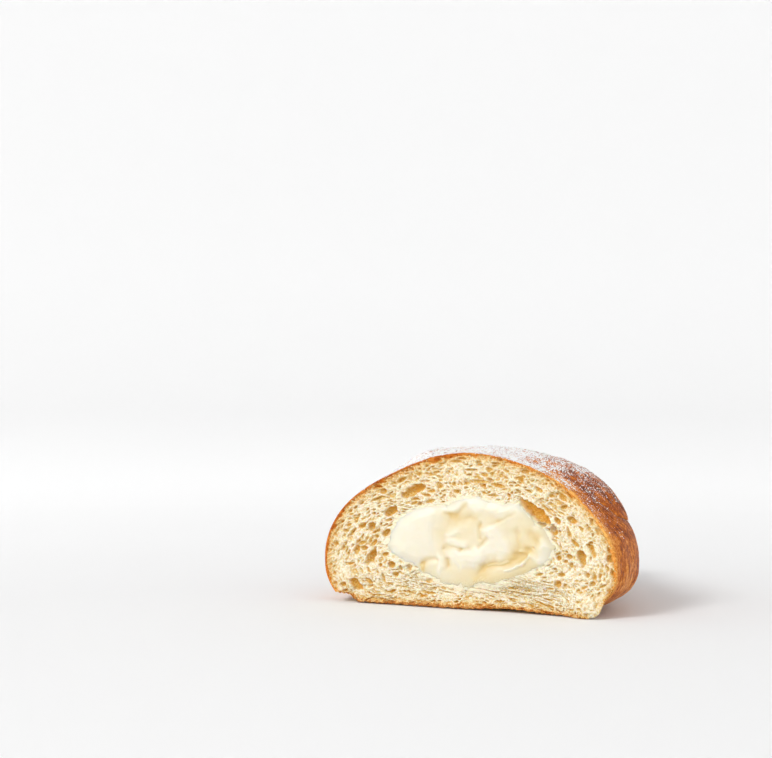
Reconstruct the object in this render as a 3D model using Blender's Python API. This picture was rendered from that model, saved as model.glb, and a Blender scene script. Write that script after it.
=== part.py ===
"""One half of a cream-filled croissant, lying on its baked base with the cut face to the front.

Run with: blender --background --python part.py
Units are metres, +Z is up, +X is to the right of the cut face and +Y runs back to the pointed end.
The origin is on the flat spot that it rests on. Two solids: the bread, with the wraps of its rolled
dough and the bubbles of its crumb, and the cream that fills the hollow and shows at the cut.
"""

import math
import random

import bmesh
import bpy
from mathutils import Matrix, Vector, noise

MM = 0.001

# Whole body, measured back from the cut
LENGTH = 78 * MM
CUT_Y = -37.5 * MM
CUT_HALF_WIDTH = 42.3 * MM
WIDEST_HALF_WIDTH = 44.5 * MM
WIDEST_AT = 14 * MM
NUB_HALF_WIDTH = 18 * MM
NUB_AT = 60 * MM
CUT_HEIGHT = 43.2 * MM
TALLEST_HEIGHT = 44.4 * MM
NUB_HEIGHT = 29 * MM
NUB_ROUNDING = 17 * MM
WAIST_HEIGHT = 13 * MM  # of the widest line of every section
BELLY_DEPTH = 20 * MM  # of the lower half of a section, before the base is pressed flat
BELLY_POWER = 2.4
RIGHT_TUCK = 4.5 * MM  # the right side curls up off the base by this much more, behind the torn flap
TUCK_FROM = 4 * MM
NUB_SIDE_SHIFT = 3 * MM

# The base: a flat spot that it rests on, given by its corners, and a gentle curl up all round it
REST_CORNERS = ((-27 * MM, -33 * MM), (27 * MM, -33 * MM), (13 * MM, 14 * MM), (-12 * MM, 14 * MM))
BASE_CURL = math.radians(3.5)
TRAY_REACH = 3.4  # size of the tray that presses the base, in sizes of the flat spot
TRAY_THICKNESS = 12 * MM
UNPRESSED = 2 * MM  # how far the body hangs below the flat spot before it is pressed

# Where the body swells out or slumps: share of its radius, angle and spread round the section in
# degrees, how far behind the cut it is full, and how much of it is gone at the nub
SWELLS = (
    (-0.065, 130, 36, 0, 0.6),
    (-0.018, 48, 58, 0, 1.0),
    (0.075, 45, 25, 12 * MM, 1.0),
)

# Wraps of dough: the groove behind each one, on the left side, and how much further back on the right
GROOVES = ((17 * MM, 20 * MM), (37 * MM, 14 * MM), (55 * MM, 7 * MM))
TONGUE_LENGTH = 28.5 * MM  # the last wrap, a tongue that lies along the right side only
TONGUE_TOP = math.radians(45)
TONGUE_LEAST = 1.2 * MM
TONGUE_SHOULDER = 9 * MM  # where its edge turns back, and over which angles it does so
TONGUE_SLOPE = math.radians(22)
TONGUE_TURN = (math.radians(17), math.radians(25))
GROOVE_DEPTH = 2.7 * MM
LIP_SHARE = 0.26  # of a wrap's width, from its groove to its crown

# Cut face and hollow
MOUTH_CENTRE = Vector((1.7 * MM, 0, 19.7 * MM))
MOUTH_HALF_WIDTH = 24.5 * MM
MOUTH_HALF_HEIGHT = 11.9 * MM
HOLLOW_DEPTH = 50 * MM
HEEL_MIDDLE = Vector((37 * MM, 0, 5 * MM))  # the torn lower right corner stands forward
HEEL_SIZE = 9 * MM
HEEL_FORWARD = 3 * MM

# Crumb bubbles in the cut face, in mm: across, up, length, thickness, and tilt in degrees
LARGE_BUBBLES = (
    (-15.6, 33.4, 7.6, 2.8, 21),
    (-22.6, 27.2, 4.4, 2.2, 28),
    (-27.6, 21.0, 2.6, 2.0, 47),
    (-25.4, 17.6, 2.6, 2.0, -30),
    (-28.2, 12.9, 4.6, 2.0, 49),
    (-31.6, 15.9, 2.2, 1.8, -5),
    (-33.1, 6.6, 4.0, 2.4, -40),
    (-22.8, 9.6, 2.0, 2.2, -6),
    (-17.0, 7.4, 2.2, 1.6, -30),
    (-8.2, 37.2, 2.9, 1.2, 2),
    (2.8, 36.1, 3.3, 1.0, 3),
    (-2.3, 39.8, 3.6, 1.0, 1),
    (11.3, 36.8, 2.6, 1.2, -4),
    (18.0, 37.0, 2.3, 1.4, -10),
    (22.8, 31.9, 3.0, 1.3, -30),
    (28.0, 28.6, 3.6, 1.4, -38),
    (31.6, 25.3, 2.5, 1.9, -18),
    (31.2, 20.6, 3.1, 1.9, -52),
    (33.6, 15.8, 4.3, 2.2, -64),
    (27.4, 8.2, 2.1, 2.0, -5),
    (35.6, 9.4, 2.0, 1.6, 0),
)
SMALL_BUBBLES = 64
BUBBLE_CLEARANCE = 0.5 * MM
LOWEST_BUBBLE = 3 * MM
BUBBLE_SEED = 7

# Cream
CREAM_GAP = 0.3 * MM
POCKET_ANGLE = math.radians(44)  # air pocket between cream and crumb, at the upper right
POCKET_SPREAD = math.radians(15)
POCKET_DEPTH = 4.2 * MM
FOLD_DEPTH = 2.2 * MM
FOLD_SIZE = 13 * MM
FOLD_SWIRL = 5 * MM
CREASE_SOFTNESS = 0.07

# Mesh fineness
BREAD_ROUND = 84
CREAM_ROUND = 60
MERGE = 0.01 * MM


def smoothstep(low, high, value):
    share = min(max((value - low) / (high - low), 0.0), 1.0)
    return share * share * (3 - 2 * share)


def lerp(a, b, share):
    return a + (b - a) * share


def bell(angle, centre, spread):
    """1 at the centre angle, falling to 0 a few spreads away, the short way round."""
    away = math.remainder(angle - centre, math.tau)
    return math.exp(-((away / spread) ** 2))


def powered(value, power):
    return math.copysign(abs(value) ** power, value)


# ---------------------------------------------------------------- form of the croissant


def groove_line(index, around):
    """How far behind the cut the groove in front of wrap `index` runs, at an angle round the body."""
    if index == 0:
        return 0.0
    if index == 1:
        left = math.remainder(around, math.tau)
        shoulder = TONGUE_SHOULDER * min(max((TONGUE_TOP - left) / TONGUE_SLOPE, 0.0), 1.0) ** 1.1
        turned = TONGUE_LENGTH - TONGUE_SHOULDER - TONGUE_LEAST
        turned *= smoothstep(TONGUE_TURN[1], TONGUE_TURN[0], left)
        lower = 1 - smoothstep(math.radians(90), math.radians(150), -left)
        return TONGUE_LEAST + (shoulder + turned) * lower
    if index == len(GROOVES) + 2:
        return LENGTH
    nearest, skew = GROOVES[index - 2]
    right = 0.5 + 0.5 * math.cos(around)
    return nearest + skew * right**1.3


def wrap_profile(index, share):
    """Height of a wrap above its grooves, from 0 to 1, from its front edge (share 0) to its back edge."""
    first, last = index == 0, index == len(GROOVES) + 1
    if share < LIP_SHARE and not first:
        return math.sqrt(max(0.0, 1 - (1 - share / LIP_SHARE) ** 2))
    if last:
        return 1.0
    start = 0.0 if first else LIP_SHARE
    return 1 - ((share - start) / (1 - start)) ** (5 if first else 2.4)


def section_point(around, behind, sink):
    """A point of the outer surface: angle round the section, distance behind the cut, depth of groove."""
    taper = min(max((behind - WIDEST_AT) / (NUB_AT - WIDEST_AT), 0.0), 1.0)
    front = min(max((WIDEST_AT - behind) / WIDEST_AT, 0.0), 1.0) ** 2
    closing = min(max((behind - LENGTH + NUB_ROUNDING) / NUB_ROUNDING, 0.0), 1.0)
    closing = math.sqrt(1 - closing**2)
    half_width = lerp(WIDEST_HALF_WIDTH, CUT_HALF_WIDTH, front)
    half_width = lerp(half_width, NUB_HALF_WIDTH, taper**1.15)
    height = lerp(TALLEST_HEIGHT, CUT_HEIGHT, front)
    height = lerp(height, NUB_HEIGHT, taper**1.25)
    crown = (height - WAIST_HEIGHT) * closing
    half_width *= closing

    across, up = math.cos(around), math.sin(around)
    if up >= 0:
        flat = Vector((half_width * across, 0, crown * up))
    else:
        power = 2 / BELLY_POWER
        tuck = RIGHT_TUCK * smoothstep(0.1, 0.8, across) * smoothstep(0, TUCK_FROM, behind)
        depth = (BELLY_DEPTH - tuck) * closing
        flat = Vector((half_width * powered(across, power), 0, depth * powered(up, power)))
    for share, angle, spread, full_at, loss in SWELLS:
        strength = smoothstep(0, full_at, behind) if full_at else 1.0
        strength *= bell(around, math.radians(angle), math.radians(spread)) * (1 - loss * taper)
        flat *= 1 + share * strength
    size = max(flat.length, MERGE)
    lumps = 0.7 * MM * noise.noise(Vector((across * 1.6, behind / (16 * MM), up * 1.6 + 5)))
    base_fade = 0.12 + 0.88 * smoothstep(-0.75, -0.1, up)
    flat *= 1 + (lumps - sink) * base_fade * closing / size
    centre_x = NUB_SIDE_SHIFT * taper**2
    return Vector((centre_x + flat.x, CUT_Y + behind, max(WAIST_HEIGHT + flat.z, -UNPRESSED)))


def crust_point(around, index, share):
    """A point of the crust: angle round the body, wrap, and share of the way across the wrap."""
    front, back = groove_line(index, around), groove_line(index + 1, around)
    profile = wrap_profile(index, share)
    fade = smoothstep(2 * MM, 14 * MM, back - front)
    if index == 0:
        profile, fade = lerp(1.0, profile, fade), 1.0
    elif share < LIP_SHARE:
        fade = min(fade, smoothstep(1.5 * MM, 9 * MM, front))
    sink = GROOVE_DEPTH * (1 - profile) * fade
    return section_point(around, lerp(front, back, share), sink)


def mouth_point(around):
    """The rim of the hollow in the plane of the cut: an uneven oval."""
    uneven = 1 + 0.035 * math.sin(3 * around + 0.6) + 0.03 * math.sin(5 * around + 2.0)
    uneven += 0.05 * bell(around, POCKET_ANGLE, POCKET_SPREAD)
    across = MOUTH_HALF_WIDTH * uneven * math.cos(around)
    up = MOUTH_HALF_HEIGHT * uneven * math.sin(around)
    return MOUTH_CENTRE + Vector((across, CUT_Y, up))


def on_face(x, z):
    """A point of the cut face, which waves gently and stands forward at its torn corner."""
    spot = Vector((x, 0, z))
    wave = 0.35 * MM * noise.noise(spot / (14 * MM))
    heel = HEEL_FORWARD * math.exp(-(((spot - HEEL_MIDDLE).length / HEEL_SIZE) ** 2))
    return spot + Vector((0, CUT_Y + wave - heel, 0))


def face_point(around, share):
    """A point of the cut face, from the rim of the hollow (share 0) to the crust (share 1)."""
    flat = mouth_point(around).lerp(crust_point(around, 0, 0.0), share)
    return on_face(flat.x, flat.z)


def hollow_point(around, share, gap=0.0):
    """A point of the wall of the hollow, from its rim (share 0) to its closed end (share 1)."""
    rim = mouth_point(around)
    middle = Vector((MOUTH_CENTRE.x, rim.y, MOUTH_CENTRE.z))
    depth = math.sin(share * math.pi / 2)
    size = math.cos(share * math.pi / 2)
    radial = (rim - middle) * size
    if radial.length > gap:
        radial *= 1 - gap / radial.length
    return middle + radial + Vector((0, depth * (HOLLOW_DEPTH - gap), 0))


# ---------------------------------------------------------------- mesh helpers


def rolled_sheet(columns, places):
    """A grid rolled once round and shrunk to a point at both ends. `places` has one function per row."""
    sheet = bmesh.new()
    bmesh.ops.create_grid(sheet, x_segments=columns, y_segments=len(places) - 1, size=0.5)
    for vert in sheet.verts:
        around = (vert.co.x + 0.5) * math.tau
        row = round((vert.co.y + 0.5) * (len(places) - 1))
        vert.co = places[row](around)
    bmesh.ops.remove_doubles(sheet, verts=sheet.verts, dist=MERGE)
    bmesh.ops.recalc_face_normals(sheet, faces=sheet.faces)
    return sheet


def object_from(sheet, name, collection):
    mesh = bpy.data.meshes.new(name)
    sheet.to_mesh(mesh)
    sheet.free()
    made = bpy.data.objects.new(name, mesh)
    collection.objects.link(made)
    return made


def hidden_cutter(sheet, name, collection):
    """A solid that only cuts: drawn as wires and never rendered."""
    made = object_from(sheet, name, collection)
    made.hide_render = True
    made.display_type = "WIRE"
    return made


def plain_material(name, colour, roughness):
    material = bpy.data.materials.new(name)
    material.use_nodes = True
    shader = material.node_tree.nodes["Principled BSDF"]
    shader.inputs["Base Color"].default_value = (*colour, 1)
    shader.inputs["Roughness"].default_value = roughness
    shader.inputs["Metallic"].default_value = 0
    return material


# ---------------------------------------------------------------- bread


def bread_rows():
    """One function of the angle for each row of the sheet, from the end of the hollow to the tip."""
    rows = [lambda around, s=share: hollow_point(around, s) for share in (1, 0.93, 0.8, 0.6, 0.4, 0.2, 0.08)]
    rows += [lambda around, s=share: face_point(around, s) for share in (0, 0.3, 0.62, 0.86)]
    plain = (0, 0.15, 0.4, 0.65, 0.82, 0.93)
    lipped = (0, 0.03, 0.1, 0.2, 0.4, 0.65, 0.88)
    nub = (0, 0.03, 0.1, 0.22, 0.4, 0.55, 0.68, 0.79, 0.88, 0.95, 0.985, 1)
    for index in range(len(GROOVES) + 2):
        shares = plain if index == 0 else nub if index == len(GROOVES) + 1 else lipped
        rows += [lambda around, i=index, s=share: crust_point(around, i, s) for share in shares]
    return rows


def spread_bubbles():
    """The large bubbles, then small ones thrown at random along the crumb's layers, clear of the others."""
    rng = random.Random(BUBBLE_SEED)
    bubbles = []
    for across, up, length, thickness, tilt in LARGE_BUBBLES:
        middle = on_face(across * MM, up * MM)
        bubbles.append((middle, math.radians(tilt), length * MM / 2, thickness * MM / 2))
    wanted = len(bubbles) + SMALL_BUBBLES
    step = 0.02
    while len(bubbles) < wanted:
        around, share = rng.uniform(0, math.tau), rng.uniform(0.14, 0.86)
        half_length = rng.uniform(0.7, 1.3) * MM
        half_thickness = half_length * rng.uniform(0.45, 0.8)
        middle = face_point(around, share)
        along = face_point(around + step, share) - face_point(around - step, share)
        room = min((middle - other[0]).xz.length - other[2] for other in bubbles)
        if middle.z > LOWEST_BUBBLE and room > half_length + BUBBLE_CLEARANCE:
            bubbles.append((middle, math.atan2(along.z, along.x), half_length, half_thickness))
    return bubbles


def make_bubble_cutter(collection):
    """All the bubbles in one mesh, each a squashed ball sunk half into the cut face."""
    cutter = bmesh.new()
    for middle, tilt, half_length, half_thickness in spread_bubbles():
        detail = 2 if half_length > 1.5 * MM else 1
        scale = Matrix.Diagonal((half_length, half_thickness * 1.1, half_thickness, 1))
        laid = Matrix.Translation(middle) @ Matrix.Rotation(-tilt, 4, "Y")
        bmesh.ops.create_icosphere(cutter, subdivisions=detail, radius=1, matrix=laid @ scale)
    return hidden_cutter(cutter, "bubble_cutter", collection)


def make_tray_cutter(collection):
    """The tray under the base: flat where the croissant rests, and rising slowly away from there."""
    tray = bmesh.new()
    spot = [Vector((x, y, 0)) for x, y in REST_CORNERS]
    middle = sum(spot, Vector()) / len(spot)
    bottom = [tray.verts.new(middle + (corner - middle) * TRAY_REACH) for corner in spot]
    top = []
    for vert in bottom:
        away = (vert.co - middle).length * (1 - 1 / TRAY_REACH)
        top.append(tray.verts.new(vert.co + Vector((0, 0, away * math.tan(BASE_CURL)))))
        vert.co.z = -TRAY_THICKNESS
    rest = [tray.verts.new(corner) for corner in spot]
    for ring in (bottom, rest):
        tray.faces.new(ring)
    for low, high in ((bottom, top), (top, rest)):
        for first, second in ((0, 1), (1, 2), (2, 3), (3, 0)):
            tray.faces.new((low[first], low[second], high[second], high[first]))
    bmesh.ops.recalc_face_normals(tray, faces=tray.faces)
    return hidden_cutter(tray, "tray_cutter", collection)


def make_bread(collection, cutters):
    bread = object_from(rolled_sheet(BREAD_ROUND, bread_rows()), "bread", collection)
    for cutter in (make_tray_cutter(cutters), make_bubble_cutter(cutters)):
        cut = bread.modifiers.new(cutter.name, "BOOLEAN")
        cut.operation = "DIFFERENCE"
        cut.object = cutter
    bread.data.materials.append(plain_material("baked bread", (0.56, 0.27, 0.10), 0.6))
    return bread


# ---------------------------------------------------------------- cream


def fold_height(x, z):
    """Soft lobes with creases between them, as where a knife has dragged through thick cream."""
    place = Vector((x, 0, z)) / FOLD_SIZE
    swirl = noise.noise_vector(place * 0.9 + Vector((3, 1, 7))) * (FOLD_SWIRL / FOLD_SIZE)
    crossing = noise.noise(place + swirl + Vector((0.35, 2.0, 0.8)))
    return FOLD_DEPTH * (2.4 * math.hypot(crossing, CREASE_SOFTNESS) - 0.6)


def cream_front_point(around, share):
    """A point of the cream's open face, from its edge (share 0) to its middle (share 1)."""
    edge = hollow_point(around, 0.0, CREAM_GAP)
    middle = Vector((MOUTH_CENTRE.x, CUT_Y, MOUTH_CENTRE.z))
    spot = edge.lerp(middle, share)
    pocket = bell(around, POCKET_ANGLE, POCKET_SPREAD) * (1 - smoothstep(0.0, 0.34, share))
    relief = fold_height(spot.x, spot.z) * smoothstep(0.0, 0.2, share)
    return spot + Vector((0, POCKET_DEPTH * pocket - relief - 0.4 * MM, 0))


def cream_wall_point(around, share):
    """A point of the cream's side, just inside the hollow's wall, set back where the air pocket is."""
    spot = hollow_point(around, share, CREAM_GAP)
    pocket = bell(around, POCKET_ANGLE, POCKET_SPREAD) * (1 - smoothstep(0.0, 0.5, share))
    middle = Vector((MOUTH_CENTRE.x, spot.y, MOUTH_CENTRE.z))
    return spot.lerp(middle, 0.16 * pocket) + Vector((0, POCKET_DEPTH * pocket, 0))


def make_cream(collection):
    walls = (1, 0.92, 0.78, 0.6, 0.4, 0.22, 0.1, 0.03)
    fronts = (0.04, 0.12, 0.2, 0.3, 0.4, 0.5, 0.6, 0.7, 0.8, 0.9, 1)
    rows = [lambda around, s=share: cream_wall_point(around, s) for share in walls]
    rows += [lambda around, s=share: cream_front_point(around, s) for share in fronts]
    cream = object_from(rolled_sheet(CREAM_ROUND, rows), "cream", collection)
    cream.data.materials.append(plain_material("custard cream", (0.93, 0.84, 0.58), 0.35))
    return cream


# ---------------------------------------------------------------- assembly


def main():
    for leftover in list(bpy.data.objects):
        bpy.data.objects.remove(leftover)
    croissant = bpy.data.collections.new("cream_filled_croissant")
    cutters = bpy.data.collections.new("cutters")
    for collection in (croissant, cutters):
        bpy.context.scene.collection.children.link(collection)
    make_bread(croissant, cutters)
    make_cream(croissant)


main()
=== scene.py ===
"""A cut half of a cream-filled croissant, dusted with icing sugar, on a pale floor in soft studio light."""

import math

import bmesh
import bpy
import numpy as np
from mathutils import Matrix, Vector, noise


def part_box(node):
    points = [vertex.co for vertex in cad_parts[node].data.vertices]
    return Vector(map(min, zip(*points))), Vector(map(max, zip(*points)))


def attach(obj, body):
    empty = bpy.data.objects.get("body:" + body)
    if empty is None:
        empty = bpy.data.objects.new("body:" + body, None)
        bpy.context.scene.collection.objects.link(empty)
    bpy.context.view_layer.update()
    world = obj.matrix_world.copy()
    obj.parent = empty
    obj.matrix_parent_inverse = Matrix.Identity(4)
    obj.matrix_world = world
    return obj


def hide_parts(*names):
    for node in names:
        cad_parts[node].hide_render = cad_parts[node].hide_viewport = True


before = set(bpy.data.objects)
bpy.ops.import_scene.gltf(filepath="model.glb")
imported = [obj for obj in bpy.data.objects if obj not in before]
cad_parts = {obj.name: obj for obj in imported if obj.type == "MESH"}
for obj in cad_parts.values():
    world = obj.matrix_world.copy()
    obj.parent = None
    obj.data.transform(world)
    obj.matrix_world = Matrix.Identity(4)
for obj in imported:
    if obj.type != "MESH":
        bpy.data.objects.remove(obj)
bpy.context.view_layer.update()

# ---------------------------------------- baked crust
# The golden-brown outside of rolled dough: wraps that step down to a rounded nub, each with a rounded
# lip over a stretched, striated zone, blistered by steam, and pressed flat where it lay on the tray.
MM = 0.001
LENGTH = 78 * MM
CUT_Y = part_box("bread")[1].y - LENGTH
CUT_HALF_WIDTH, WIDEST_HALF_WIDTH, NUB_HALF_WIDTH = 42.9 * MM, 44.5 * MM, 18 * MM
CUT_HEIGHT, TALLEST_HEIGHT, NUB_HEIGHT = 43.2 * MM, 44.4 * MM, 29 * MM
WIDEST_AT, NUB_AT, NUB_ROUNDING = 14 * MM, 60 * MM, 17 * MM
WAIST_HEIGHT, BELLY_DEPTH, BELLY_POWER = 13 * MM, 20 * MM, 2.4
RIGHT_TUCK, NUB_SIDE_SHIFT = 4.0 * MM, 3 * MM
# Swells and hollows of the section: share of its size, angle, spread in degrees, depth behind the cut at
# which each is full, and the share of it that the taper takes away
SWELLS = (
    (-0.065, 130, 36, 0, 0.6),
    (-0.018, 48, 58, 0, 1.0),
    (0.075, 45, 25, 12 * MM, 1.0),
    (0.062, 111, 10, 9 * MM, 1.0),
    (0.016, -8, 34, 0, 1.0),
    (0.019, 85, 15, 0, 1.0),
)
# Grooves between the wraps: nearest to the cut, and how much further back each runs on the right side
GROOVES = ((17 * MM, 20 * MM), (37 * MM, 14 * MM), (55 * MM, 7 * MM))
GROOVE_DEPTH, LIP_SHARE, LIP_OVERHANG = 2.7 * MM, 0.26, 1.1 * MM
TONGUE_GROOVE = 0.4
TONGUE_LENGTH, TONGUE_TOP, TONGUE_LEAST = 28.5 * MM, math.radians(45), 1.2 * MM
TONGUE_SHOULDER, TONGUE_SLOPE, TONGUE_TURN = 9 * MM, math.radians(22), (math.radians(7), math.radians(25.5))
TONGUE_SLANT, TONGUE_GAP = 3.5 * MM, 1.2 * MM
TONGUE_FOOT = math.radians(52)
LAST_WRAP = len(GROOVES) + 1
REST_CORNERS = ((-27 * MM, -33 * MM), (27 * MM, -33 * MM), (13 * MM, 14 * MM), (-12 * MM, 14 * MM))
BASE_CURL = math.radians(3.5)
LIFTED_AT, LIFTED_WIDTH, LIFTED_BY = 13 * MM, 8 * MM, 0.7 * MM
LEFT_CORNER, CORNER_WIDTH, CORNER_LIFT = -31.5 * MM, 3.5 * MM, 1.9 * MM
FRAYED, CORNER_RUN = (7 * MM, 1 * MM), (14 * MM, 2 * MM)
FRAY_HEIGHT, FRAY_LENGTH, FRAY_DRIFT = 0.13 * MM, 0.3 * MM, 1.9 * MM
LUMP_HEIGHT, LUMP_RUN, LUMPS_ROUND = 0.7 * MM, 16 * MM, 1.6
NARROW_WRAP, NARROW_CREASE = (2 * MM, 14 * MM), (2 * MM, 10 * MM)
HEEL_MIDDLE, HEEL_SIZE, HEEL_FORWARD = np.array([35, 0, 2]) * MM, 6.5 * MM, 2.6 * MM
SHELL_DEPTH, SHELL_LIFT, SHELL_RUN = 3 * MM, 0.4 * MM, 12 * MM
CRUST_COLUMNS, NUB_COLUMNS = 840, 700
WRAP_ROWS = (34, 66, 84, 80, 110)
GRAIN_TURN = 0.5


def smoothstep(low, high, value):
    share = np.clip((value - low) / (high - low), 0, 1)
    return share * share * (3 - 2 * share)


def between(first, last, share):
    return first + (last - first) * share


def bell(around, degrees, spread):
    """1 at an angle round the body, falling to 0 a few spreads away."""
    away = np.remainder(around - math.radians(degrees) + math.pi, math.tau) - math.pi
    return np.exp(-((away / math.radians(spread)) ** 2))


def noise_of(places, size, seed=0.0):
    """Smooth noise at each place, with lumps of about this size. `size` may differ along x, y and z."""
    scaled = np.reshape(places / size, (-1, 3)) + seed
    return np.reshape([noise.noise(place) for place in scaled.tolist()], np.shape(places)[:-1])


def groove_line(index, around):
    """How far behind the cut the groove in front of wrap `index` runs. The first one borders the tongue."""
    if index == 0:
        return 0 * around
    if index == LAST_WRAP + 1:
        return LENGTH + 0 * around
    if index > 1:
        nearest, skew = GROOVES[index - 2]
        return nearest + skew * (0.5 + 0.5 * np.cos(around)) ** 1.3
    left = np.remainder(around + math.pi, math.tau) - math.pi
    shoulder = TONGUE_SHOULDER * np.clip((TONGUE_TOP - left) / TONGUE_SLOPE, 0, 1) ** 1.1
    still = np.clip((left - TONGUE_TURN[0]) / (TONGUE_TURN[1] - TONGUE_TURN[0]), 0, 1)
    turned = (TONGUE_LENGTH - TONGUE_SHOULDER - TONGUE_LEAST) * (1 - still**4 * (5 - 4 * still))
    slant = TONGUE_SLANT * smoothstep(0, TONGUE_FOOT, -left)
    lower = 1 - smoothstep(math.radians(90), math.radians(150), -left)
    end = TONGUE_LEAST + (shoulder + turned + slant) * lower
    return np.minimum(end, groove_line(2, around) - TONGUE_GAP)


def base_height(x, y):
    """How high the base curls up off the floor, away from the flat spot that it rests on."""
    outside = 0
    for (x0, y0), (x1, y1) in zip(REST_CORNERS, REST_CORNERS[1:] + REST_CORNERS[:1]):
        length = math.hypot(x1 - x0, y1 - y0)
        outside = np.maximum(outside, ((x - x0) * (y1 - y0) - (y - y0) * (x1 - x0)) / length)
    lifted = LIFTED_BY * np.exp(-(((x - LIFTED_AT) / LIFTED_WIDTH) ** 2))
    ragged = FRAY_HEIGHT * (1 + np.sin(x / FRAY_LENGTH + 3 * np.sin(x / FRAY_DRIFT)))
    frayed = (lifted + ragged) * smoothstep(*FRAYED, y - CUT_Y)
    at_corner = smoothstep(LEFT_CORNER, LEFT_CORNER - CORNER_WIDTH, x)
    corner = CORNER_LIFT * at_corner * smoothstep(*CORNER_RUN, y - CUT_Y)
    return outside * math.tan(BASE_CURL) + frayed + corner


def body_points(around, behind, sink):
    """The outer surface: angle round the section, distance behind the cut, depth of groove."""
    taper = np.clip((behind - WIDEST_AT) / (NUB_AT - WIDEST_AT), 0, 1)
    front = np.clip((WIDEST_AT - behind) / WIDEST_AT, 0, 1) ** 2
    closing = np.sqrt(1 - np.clip((behind - LENGTH + NUB_ROUNDING) / NUB_ROUNDING, 0, 1) ** 2)
    half_width = between(WIDEST_HALF_WIDTH, CUT_HALF_WIDTH, front)
    half_width = between(half_width, NUB_HALF_WIDTH, taper**1.15) * closing
    height = between(TALLEST_HEIGHT, CUT_HEIGHT, front)
    crown = (between(height, NUB_HEIGHT, taper**1.25) - WAIST_HEIGHT) * closing
    across, up = np.cos(around), np.sin(around)
    tuck = RIGHT_TUCK * smoothstep(0.1, 0.8, across)
    belly = (BELLY_DEPTH - tuck) * closing
    power = 2 / BELLY_POWER
    x = half_width * np.where(up >= 0, across, np.sign(across) * np.abs(across) ** power)
    z = np.where(up >= 0, crown * up, -belly * np.abs(up) ** power)
    for share, angle, spread, full_at, loss in SWELLS:
        strength = smoothstep(0, full_at, behind) if full_at else 1
        swell = 1 + share * strength * bell(around, angle, spread) * (1 - loss * taper)
        x, z = x * swell, z * swell
    size = np.maximum(np.hypot(x, z), 0.01 * MM)
    round_places = across * LUMPS_ROUND, behind / LUMP_RUN, up * LUMPS_ROUND + 5
    lumps = LUMP_HEIGHT * noise_of(np.stack(np.broadcast_arrays(*round_places), -1), 1)
    base_fade = 0.12 + 0.88 * smoothstep(-0.75, -0.1, up)
    grown = 1 + (lumps - sink) * base_fade * closing / size
    x, y = NUB_SIDE_SHIFT * taper**2 + x * grown, CUT_Y + behind + 0 * x
    return np.stack([x, y, np.maximum(WAIST_HEIGHT + z * grown, base_height(x, y))], -1)


def wrap_sheet(index, share, around, extra_sink=0.0):
    """Points of one wrap at each share of the way across it, with its crown and its stretched back part."""
    front, back = groove_line(index, around), groove_line(index + 1, around)
    width_fade = smoothstep(*NARROW_WRAP, back - front)
    lip = np.clip(share / LIP_SHARE, 0, 1)
    rise = np.sqrt(1 - (1 - lip) ** 2)
    if index == 0:
        profile = between(1, 1 - share**5, width_fade)
        fade = TONGUE_GROOVE * smoothstep(*NARROW_WRAP, groove_line(2, around) - back)
        overhang = 0 * around
    else:
        tail = np.clip((share - LIP_SHARE) / (1 - LIP_SHARE), 0, 1)
        profile = rise * (1 - (0 if index == LAST_WRAP else 1) * tail**2.4)
        lip_fade = np.minimum(width_fade, smoothstep(1.5 * MM, 9 * MM, front))
        lip_fade = lip_fade * (TONGUE_GROOVE if index == 1 else 1)
        fade = np.where(share < LIP_SHARE, lip_fade, width_fade)
        overhang = LIP_OVERHANG * np.sin(math.pi * np.clip(1.6 * lip, 0, 1)) * lip_fade
    sink = GROOVE_DEPTH * (1 - profile) * fade + extra_sink
    behind = between(front, back, share) - overhang
    points = body_points(around, behind, sink)
    stretch = smoothstep(7 * MM, 1.5 * MM, back - behind) * width_fade * (index != LAST_WRAP)
    return points, profile + 0 * behind, stretch, behind


def normals_of(points):
    """Outward normals of a sheet whose rows run back and whose columns run round from +X to +Z."""
    normal = np.cross(np.gradient(points, axis=0), np.gradient(points, axis=1))
    return normal / np.maximum(np.linalg.norm(normal, axis=-1, keepdims=True), 1e-12)


def cut_wave(points, heel_share=1.0):
    """How far the cut stands off its plane: a gentle wave, and the torn heel at the lower right."""
    flat = points * (1, 0, 1)
    wave = 0.35 * MM * noise_of(flat, 14 * MM) + 0.12 * MM * noise_of(flat, 2.5 * MM)
    heel = np.exp(-((np.linalg.norm(flat - HEEL_MIDDLE, axis=-1) / HEEL_SIZE) ** 2))
    return wave - HEEL_FORWARD * heel * heel_share


def rim_thickness(around):
    """Thickness of the crust where it is cut: a thread on the left and top, more on the right side."""
    thicker = 0.3 * bell(around, 25, 40) + 0.3 * bell(around, -90, 50) + 0.25 * bell(around, 180, 40)
    places = np.stack([around * 30, 0 * around, 0 * around], -1)
    return np.maximum(0.16 + thicker + 0.3 * noise_of(places, 1.3), 0.05) * MM


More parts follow.
